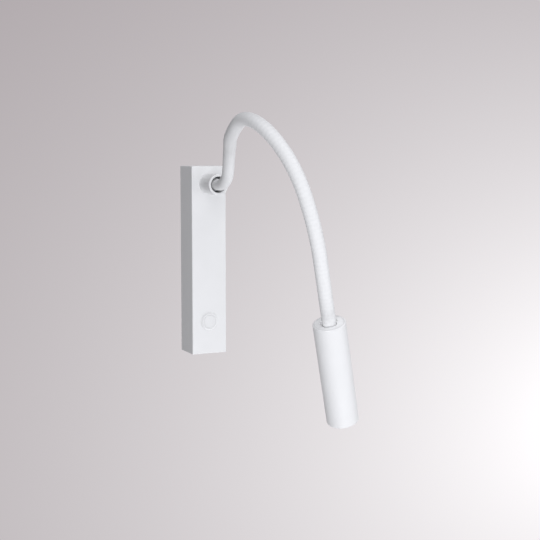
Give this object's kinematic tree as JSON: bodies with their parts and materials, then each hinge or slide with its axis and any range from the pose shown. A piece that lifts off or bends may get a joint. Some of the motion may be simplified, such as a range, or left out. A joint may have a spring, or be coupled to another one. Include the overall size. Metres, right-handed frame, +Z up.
{
  "type": "wall lamp",
  "caption": "Reading lamp for a wall: slim upright box with a push button, a ribbed flexible neck from a round collar, and a small cylindrical spot head.",
  "frame": {"origin": "middle of the wall box's back, in the plane of the wall", "axes": "+X to the right as seen from the room, +Y into the wall, +Z up"},
  "size_m": [0.0999, 0.3369, 0.2684],
  "materials": {
    "box_white": "satin white powder coat",
    "head_white": "satin white powder coat",
    "neck_white": "matt white ribbed sleeve over a bendable steel core",
    "button_white": "matt white plastic",
    "bezel_white": "white plastic",
    "steel": "zinc plated steel",
    "sink_aluminium": "bare aluminium",
    "board_white": "white coated metal board",
    "driver_white": "moulded case",
    "terminal_grey": "moulded block",
    "board_green": "coated circuit board",
    "switch_black": "black plastic",
    "grommet_rubber": "black rubber",
    "mains_brown": "insulated wire",
    "wire_red": "insulated wire",
    "lead_black": "two-core lead in a round jacket",
    "emitter_yellow": "phosphor under clear resin",
    "lens_clear": "clear moulded lens"
  },
  "bodies": {
    "wall_unit": {"housing": "box_white", "wall_bracket": "steel", "cable_grommet": "grommet_rubber", "cover_screws": "steel", "neck_collar": "box_white", "base_ferrule": "steel", "lock_washer": "steel", "lock_nut": "steel", "led_driver": "driver_white", "driver_screws": "steel", "terminal_block": "terminal_grey", "terminal_screws": "steel", "earth_screw": "steel", "control_board": "board_green", "board_screws": "steel", "tact_switch": "switch_black", "mains_leads": "mains_brown", "driver_leads": "wire_red", "lamp_lead": "lead_black", "button_ring": "button_white", "neck_0": "neck_white", "lead_0": "lead_black"},
    "button": {"button_cap": "button_white", "switch_plunger": "switch_black"},
    "stretch_1": {"neck_1": "neck_white", "lead_1": "lead_black"},
    "stretch_2": {"neck_2": "neck_white", "lead_2": "lead_black"},
    "stretch_3": {"neck_3": "neck_white", "lead_3": "lead_black"},
    "stretch_4": {"neck_4": "neck_white", "lead_4": "lead_black"},
    "stretch_5": {"neck_5": "neck_white", "lead_5": "lead_black"},
    "stretch_6": {"neck_6": "neck_white", "lead_6": "lead_black"},
    "stretch_7": {"neck_7": "neck_white", "lead_7": "lead_black"},
    "head": {"neck_8": "neck_white", "lead_8": "lead_black", "head_shell": "head_white", "head_rear_cap": "head_white", "head_ferrule": "steel", "head_nut": "steel", "heat_sink": "sink_aluminium", "led_board": "board_white", "led_screws": "steel", "led_emitter": "emitter_yellow", "lens": "lens_clear", "lens_holder": "switch_black", "front_bezel": "bezel_white"}
  },
  "joints": [
    {"name": "button_press", "type": "slide", "parent": "wall_unit", "child": "button", "axis": [0, 1, 0], "range_m": [0, 0.001], "stiffness_N_per_m": 1500, "springref_m": -0.0003},
    {"name": "neck_bend_1_lift", "type": "hinge", "parent": "wall_unit", "child": "stretch_1", "pos_m": [0, -0.058, 0.081], "axis": [-1, 0, 0], "range_deg": [-12, 30]},
    {"name": "neck_bend_2_side", "type": "hinge", "parent": "stretch_1", "child": "stretch_2", "pos_m": [-0.0057, -0.09518, 0.09671], "axis": [0.1077, 0.703, 0.703], "range_deg": [-20, 20]},
    {"name": "neck_bend_3_lift", "type": "hinge", "parent": "stretch_2", "child": "stretch_3", "pos_m": [-0.02551, -0.14306, 0.11811], "axis": [-0.9038, 0.393, -0.1694], "range_deg": [-12, 30]},
    {"name": "neck_bend_4_side", "type": "hinge", "parent": "stretch_3", "child": "stretch_4", "pos_m": [-0.04847, -0.1954, 0.12361], "axis": [-0.0808, 0.2376, 0.968], "range_deg": [-20, 20]},
    {"name": "neck_bend_5_lift", "type": "hinge", "parent": "stretch_4", "child": "stretch_5", "pos_m": [-0.06465, -0.24838, 0.13836], "axis": [-0.9854, 0.136, -0.102], "range_deg": [-12, 30]},
    {"name": "neck_bend_6_side", "type": "hinge", "parent": "stretch_5", "child": "stretch_6", "pos_m": [-0.0605, -0.30182, 0.12859], "axis": [0.0249, -0.6474, 0.7617], "range_deg": [-20, 20]},
    {"name": "neck_bend_7_lift", "type": "hinge", "parent": "stretch_6", "child": "stretch_7", "pos_m": [-0.04371, -0.32883, 0.08185], "axis": [-0.9386, -0.2658, -0.2199], "range_deg": [-12, 30]},
    {"name": "neck_bend_8_side", "type": "hinge", "parent": "stretch_7", "child": "head", "pos_m": [-0.02762, -0.32734, 0.02711], "axis": [0.3232, -0.9362, -0.1382], "range_deg": [-20, 20]}
  ]
}
